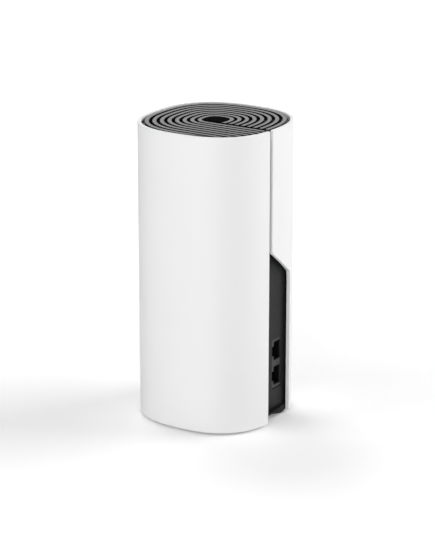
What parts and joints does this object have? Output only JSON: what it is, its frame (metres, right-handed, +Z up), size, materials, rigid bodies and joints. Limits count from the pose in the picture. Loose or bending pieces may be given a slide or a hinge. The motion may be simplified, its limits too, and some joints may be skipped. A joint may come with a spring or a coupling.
{
  "type": "mesh wifi node",
  "caption": "White rounded-square tower with a ribbed top grille, a slot down the back and a cut-out over a dark recessed panel of network sockets and a power inlet.",
  "frame": {"origin": "centre of the footprint, on the surface that the feet stand on", "axes": "+Z up, -Y the back with the slot and the ports, +Y the front with the status light"},
  "size_m": [0.0908, 0.0908, 0.19],
  "materials": {
    "shell": "satin",
    "grille": "polished",
    "dark_plastic": "matte",
    "panel_plastic": "matte",
    "socket_plastic": "matte",
    "mesh_fabric": "matte",
    "rubber": "matte",
    "label_film": "satin",
    "button_plastic": "satin",
    "circuit_board": "satin",
    "chip_plastic": "matte",
    "shield_tin": "satin",
    "aluminium": "satin",
    "screw_steel": "satin",
    "contact_metal": "polished",
    "thermal_pad": "matte",
    "clear_plastic": "polished",
    "ferrite": "matte",
    "sleeve": "satin"
  },
  "bodies": {
    "node": {"outer_shell": "shell", "top_grille": "grille", "dust_mesh": "mesh_fabric", "top_frame": "dark_plastic", "core_shell_left": "dark_plastic", "core_shell_right": "dark_plastic", "rear_panel": "panel_plastic", "base_plate": "dark_plastic", "rj45_jack_upper": "socket_plastic", "rj45_jack_lower": "socket_plastic", "rj45_contacts_upper": "contact_metal", "rj45_contacts_lower": "contact_metal", "dc_jack": "socket_plastic", "dc_jack_pin": "screw_steel", "main_board": "circuit_board", "processor_shield": "shield_tin", "radio_shield": "shield_tin", "processor_chip": "chip_plastic", "memory_chip": "chip_plastic", "radio_chip_1": "chip_plastic", "radio_chip_2": "chip_plastic", "flash_chip": "chip_plastic", "network_switch_chip": "chip_plastic", "network_transformer_upper": "chip_plastic", "network_transformer_lower": "chip_plastic", "power_inductor": "ferrite", "filter_capacitor_1": "sleeve", "filter_capacitor_2": "sleeve", "thermal_pad": "thermal_pad", "spreader_pad": "thermal_pad", "heat_sink": "aluminium", "heat_spreader": "aluminium", "antenna_left": "circuit_board", "antenna_right": "circuit_board", "coax_connector_left": "contact_metal", "coax_connector_right": "contact_metal", "antenna_lead_left": "sleeve", "antenna_lead_right": "sleeve", "status_led": "clear_plastic", "led_light_pipe": "clear_plastic", "rating_label": "label_film", "reset_switch": "chip_plastic", "base_screw_1": "screw_steel", "heat_sink_screw_1": "screw_steel", "rubber_foot_1": "rubber", "base_screw_2": "screw_steel", "heat_sink_screw_2": "screw_steel", "rubber_foot_2": "rubber", "base_screw_3": "screw_steel", "heat_sink_screw_3": "screw_steel", "rubber_foot_3": "rubber", "base_screw_4": "screw_steel", "heat_sink_screw_4": "screw_steel", "rubber_foot_4": "rubber", "top_screw_1": "screw_steel", "top_screw_2": "screw_steel"},
    "reset_button": {"reset_button": "button_plastic", "switch_plunger": "button_plastic"}
  },
  "joints": [
    {"name": "reset_press", "type": "slide", "parent": "node", "child": "reset_button", "axis": [0, 0, 1], "range_m": [0, 0.0007], "stiffness_N_per_m": 800, "springref_m": -0.0008}
  ]
}
